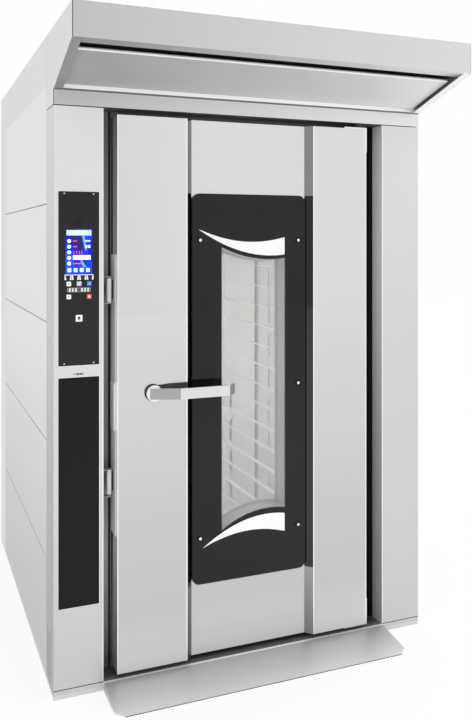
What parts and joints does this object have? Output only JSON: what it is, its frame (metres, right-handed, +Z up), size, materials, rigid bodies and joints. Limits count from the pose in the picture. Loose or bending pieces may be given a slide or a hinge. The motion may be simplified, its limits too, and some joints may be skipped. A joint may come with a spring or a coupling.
{
  "type": "rotating rack oven",
  "caption": "Upright bakery oven with hinged glazed door, lever latch, touch column, front exhaust hood, loading ramp and a turning tray rack carried from the roof.",
  "frame": {"origin": "on the floor, under the middle of the cabinet's footprint", "axes": "+Z up, the door faces -Y, +X to the right seen from the front"},
  "size_m": [1.43, 1.885, 2.225],
  "materials": {
    "stainless": "brushed stainless sheet, fine grain",
    "stainless_shaded": "brushed stainless sheet, dull",
    "stainless_light": "brushed stainless sheet, bright",
    "stainless_liner": "plain stainless sheet, heat-toned",
    "bright_steel": "polished stainless",
    "dark_steel": "dark steel",
    "black_steel": "matt black paint",
    "galvanised": "galvanised sheet",
    "rack_steel": "welded stainless tube",
    "iron": "rough cast iron",
    "motor_paint": "blue-grey machine paint",
    "mineral_wool": "mineral wool slab",
    "black_panel": "satin black front film",
    "black_glass": "glossy black printed glass",
    "clear_glass": "clear glass",
    "screen": "lit blue screen under gloss",
    "lamp_glass": "frosted lamp cover",
    "nylon": "white nylon",
    "wheel_nylon": "heat-proof black nylon",
    "black_rubber": "black silicone seal",
    "key_dark": "dark key",
    "key_white": "white key",
    "key_blue": "blue key",
    "key_red": "red key"
  },
  "bodies": {
    "cabinet": {"base_frame": "stainless", "ramp": "stainless", "column_left": "stainless", "column_right": "stainless", "door_landing": "stainless_shaded", "side_panels": "stainless", "rear_panels": "stainless", "fascias": "stainless", "header": "stainless", "roof_deck": "galvanised", "hood_shell": "stainless", "hood_baffle": "stainless", "hood_grille": "black_steel", "chamber_liner": "stainless_liner", "insulation": "mineral_wool", "air_walls": "stainless_liner", "heater_bank": "dark_steel", "fan_motor": "motor_paint", "steam_unit": "iron", "chamber_lamp": "lamp_glass", "rack_gearmotor": "motor_paint", "roof_connections": "galvanised", "hood_extractor": "galvanised", "control_panel": "black_panel", "display": "screen", "plain_panel": "black_panel", "door_keepers": "nylon", "hinge_bushings": "dark_steel"},
    "door": {"door_skin": "stainless", "door_core": "mineral_wool", "window_mask": "black_glass", "window_panes": "clear_glass", "window_reveal": "stainless_shaded", "door_seal": "black_rubber", "pane_screws": "bright_steel", "door_edge": "stainless_light", "hinge_leaves": "bright_steel"},
    "handle": {"handle_boss": "bright_steel", "handle_band": "bright_steel"},
    "latch": {"latch_bolts": "dark_steel"},
    "rack": {"rack_yoke": "dark_steel", "rack_frame": "rack_steel", "rack_rails": "rack_steel"},
    "swivel_left": {"caster_fork_left": "galvanised"},
    "swivel_right": {"caster_fork_right": "galvanised"},
    "wheel_1": {"caster_wheel_1": "wheel_nylon"},
    "wheel_2": {"caster_wheel_2": "wheel_nylon"},
    "wheel_3": {"caster_wheel_3": "wheel_nylon"},
    "wheel_4": {"caster_wheel_4": "wheel_nylon"},
    "fan": {"fan_wheel": "stainless_liner"},
    "soft_key_1": {"soft_key_1": "key_dark"},
    "soft_key_2": {"soft_key_2": "key_dark"},
    "soft_key_3": {"soft_key_3": "key_dark"},
    "soft_key_4": {"soft_key_4": "key_dark"},
    "key_up": {"key_up": "key_white"},
    "key_page": {"key_page": "key_white"},
    "key_ok": {"key_ok": "key_blue"},
    "key_down": {"key_down": "key_white"},
    "key_stop": {"key_stop": "key_red"},
    "key_lamp": {"key_lamp": "key_white"}
  },
  "joints": [
    {"name": "door_swing", "type": "hinge", "parent": "cabinet", "child": "door", "pos_m": [0.455, -0.755, 1], "axis": [0, 0, 1], "range_deg": [0, 120]},
    {"name": "handle_turn", "type": "hinge", "parent": "door", "child": "handle", "pos_m": [-0.376, -0.818, 0.994], "axis": [0, 1, 0], "range_deg": [0, 45]},
    {"name": "latch_slide", "type": "slide", "parent": "door", "child": "latch", "axis": [1, 0, 0], "range_m": [0, 0.026]},
    {"name": "rack_turn", "type": "hinge", "parent": "cabinet", "child": "rack", "pos_m": [0, -0.108, 1.9], "axis": [0, 0, 1], "continuous": true},
    {"name": "swivel_left_turn", "type": "hinge", "parent": "rack", "child": "swivel_left", "pos_m": [-0.26, -0.448, 0.16], "axis": [0, 0, 1], "continuous": true},
    {"name": "swivel_right_turn", "type": "hinge", "parent": "rack", "child": "swivel_right", "pos_m": [0.26, -0.448, 0.16], "axis": [0, 0, 1], "continuous": true},
    {"name": "wheel_1_spin", "type": "hinge", "parent": "rack", "child": "wheel_1", "pos_m": [-0.26, 0.232, 0.095], "axis": [1, 0, 0], "continuous": true},
    {"name": "wheel_2_spin", "type": "hinge", "parent": "rack", "child": "wheel_2", "pos_m": [0.26, 0.232, 0.095], "axis": [1, 0, 0], "continuous": true},
    {"name": "wheel_3_spin", "type": "hinge", "parent": "swivel_left", "child": "wheel_3", "pos_m": [-0.26, -0.478, 0.095], "axis": [1, 0, 0], "continuous": true},
    {"name": "wheel_4_spin", "type": "hinge", "parent": "swivel_right", "child": "wheel_4", "pos_m": [0.26, -0.478, 0.095], "axis": [1, 0, 0], "continuous": true},
    {"name": "fan_spin", "type": "hinge", "parent": "cabinet", "child": "fan", "pos_m": [0, 0.565, 1.85], "axis": [0, 0, 1], "continuous": true},
    {"name": "soft_key_1_press", "type": "slide", "parent": "cabinet", "child": "soft_key_1", "axis": [0, 1, 0], "range_m": [0, 0.001], "stiffness_N_per_m": 600},
    {"name": "soft_key_2_press", "type": "slide", "parent": "cabinet", "child": "soft_key_2", "axis": [0, 1, 0], "range_m": [0, 0.001], "stiffness_N_per_m": 600},
    {"name": "soft_key_3_press", "type": "slide", "parent": "cabinet", "child": "soft_key_3", "axis": [0, 1, 0], "range_m": [0, 0.001], "stiffness_N_per_m": 600},
    {"name": "soft_key_4_press", "type": "slide", "parent": "cabinet", "child": "soft_key_4", "axis": [0, 1, 0], "range_m": [0, 0.001], "stiffness_N_per_m": 600},
    {"name": "key_up_press", "type": "slide", "parent": "cabinet", "child": "key_up", "axis": [0, 1, 0], "range_m": [0, 0.001], "stiffness_N_per_m": 600},
    {"name": "key_page_press", "type": "slide", "parent": "cabinet", "child": "key_page", "axis": [0, 1, 0], "range_m": [0, 0.001], "stiffness_N_per_m": 600},
    {"name": "key_ok_press", "type": "slide", "parent": "cabinet", "child": "key_ok", "axis": [0, 1, 0], "range_m": [0, 0.001], "stiffness_N_per_m": 600},
    {"name": "key_down_press", "type": "slide", "parent": "cabinet", "child": "key_down", "axis": [0, 1, 0], "range_m": [0, 0.001], "stiffness_N_per_m": 600},
    {"name": "key_stop_press", "type": "slide", "parent": "cabinet", "child": "key_stop", "axis": [0, 1, 0], "range_m": [0, 0.001], "stiffness_N_per_m": 600},
    {"name": "key_lamp_press", "type": "slide", "parent": "cabinet", "child": "key_lamp", "axis": [0, 1, 0], "range_m": [0, 0.001], "stiffness_N_per_m": 600}
  ],
  "couplings": [
    {"joint": "latch_slide", "follows": "handle_turn", "m_per_rad": 0.0331}
  ]
}
